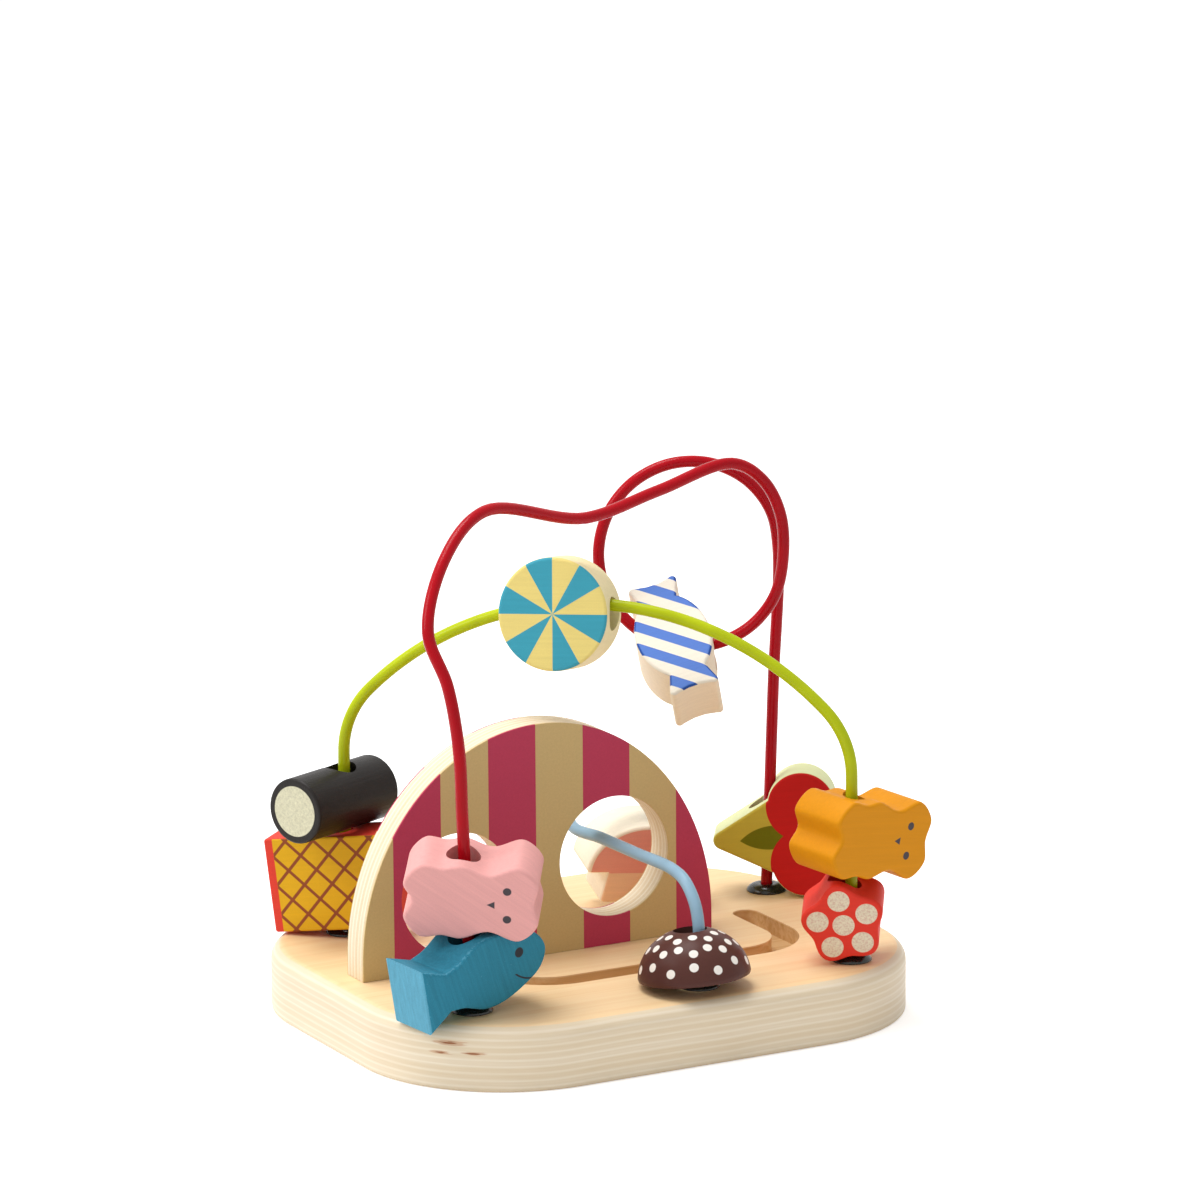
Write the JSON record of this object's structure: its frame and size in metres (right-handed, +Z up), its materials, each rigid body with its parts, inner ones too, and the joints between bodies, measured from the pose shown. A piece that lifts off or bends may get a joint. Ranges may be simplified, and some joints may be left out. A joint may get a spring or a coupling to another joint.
{
  "type": "bead frame",
  "caption": "Wooden bead maze: a plywood board with a finger groove and a striped arch, bent coated wires and painted sweet-shaped beads that slide and turn on them.",
  "frame": {"origin": "middle of the board's flat underside", "axes": "+Z up, +X along the board's front edge to the right, +Y from the front to the back"},
  "size_m": [0.2141, 0.1662, 0.1842],
  "materials": {
    "board_plywood": "clear satin lacquer on plywood",
    "arch_paint": "painted stripes on plywood",
    "steel": "bright zinc",
    "wire_red": "gloss coating",
    "wire_lime": "gloss coating",
    "wire_grey": "gloss coating",
    "ferrule_black": "gloss",
    "bead_blue": "satin paint",
    "bead_pink": "satin paint",
    "bead_cherry": "satin paint",
    "bead_candy": "satin paint",
    "bead_raspberry": "satin paint",
    "bead_yellow": "satin paint",
    "bead_waffle": "satin paint",
    "bead_liquorice": "satin paint",
    "bead_disc": "satin paint",
    "bead_chocolate": "satin paint",
    "bead_mushroom": "satin paint"
  },
  "bodies": {
    "frame": {"base_board": "board_plywood", "arch_panel": "arch_paint", "arch_screw_left": "steel", "arch_screw_middle": "steel", "arch_screw_right": "steel", "red_wire": "wire_red", "lime_wire": "wire_lime", "grey_wire": "wire_grey", "red_front_ferrule": "ferrule_black", "red_front_retainer": "steel", "red_back_ferrule": "ferrule_black", "red_back_retainer": "steel", "lime_front_ferrule": "ferrule_black", "lime_front_retainer": "steel", "lime_back_ferrule": "ferrule_black", "lime_back_retainer": "steel", "grey_front_ferrule": "ferrule_black", "grey_front_retainer": "steel", "grey_back_ferrule": "ferrule_black", "grey_back_retainer": "steel"},
    "blue_fish": {"blue_fish": "bead_blue"},
    "pink_bear": {"pink_bear": "bead_pink"},
    "twin_cherries": {"twin_cherries": "bead_cherry"},
    "striped_candy": {"striped_candy": "bead_candy"},
    "raspberry": {"raspberry": "bead_raspberry"},
    "yellow_bear": {"yellow_bear": "bead_yellow"},
    "waffle_block": {"waffle_block": "bead_waffle"},
    "liquorice_roll": {"liquorice_roll": "bead_liquorice"},
    "round_candy_disc": {"round_candy_disc": "bead_disc"},
    "chocolate_dome": {"chocolate_dome": "bead_chocolate"},
    "foam_mushroom": {"foam_mushroom": "bead_mushroom"}
  },
  "joints": [
    {"name": "fish_slide", "type": "slide", "parent": "frame", "child": "blue_fish", "axis": [-0.0341, 0.017, 0.9993], "range_m": [0, 0.012]},
    {"name": "pink_bear_slide", "type": "slide", "parent": "blue_fish", "child": "pink_bear", "axis": [-0.0341, 0.017, 0.9993], "range_m": [0, 0.014]},
    {"name": "candy_spin", "type": "hinge", "parent": "frame", "child": "striped_candy", "pos_m": [0.04864, 0.02597, 0.11665], "axis": [0.8229, -0.5357, -0.1894], "continuous": true},
    {"name": "cherries_slide", "type": "slide", "parent": "frame", "child": "twin_cherries", "axis": [0.029, -0.0141, 0.9995], "range_m": [0, 0.06]},
    {"name": "raspberry_slide", "type": "slide", "parent": "frame", "child": "raspberry", "axis": [0, 0, 1], "range_m": [0, 0.004]},
    {"name": "yellow_bear_slide", "type": "slide", "parent": "raspberry", "child": "yellow_bear", "axis": [0, 0, 1], "range_m": [0, 0.006]},
    {"name": "disc_spin", "type": "hinge", "parent": "frame", "child": "round_candy_disc", "pos_m": [-0.00858, 0.00235, 0.13775], "axis": [0.7021, -0.7102, 0.0515], "continuous": true},
    {"name": "waffle_slide", "type": "slide", "parent": "frame", "child": "waffle_block", "axis": [0, 0, 1], "range_m": [0, 0.004]},
    {"name": "liquorice_slide", "type": "slide", "parent": "waffle_block", "child": "liquorice_roll", "axis": [0, 0, 1], "range_m": [0, 0.005]},
    {"name": "dome_spin", "type": "hinge", "parent": "frame", "child": "chocolate_dome", "pos_m": [0.007, -0.065, 0.033], "axis": [0, 0, 1], "continuous": true},
    {"name": "mushroom_spin", "type": "hinge", "parent": "frame", "child": "foam_mushroom", "pos_m": [0.044, 0.0315, 0.038], "axis": [0, 0, 1], "range_deg": [-90, 55]}
  ]
}
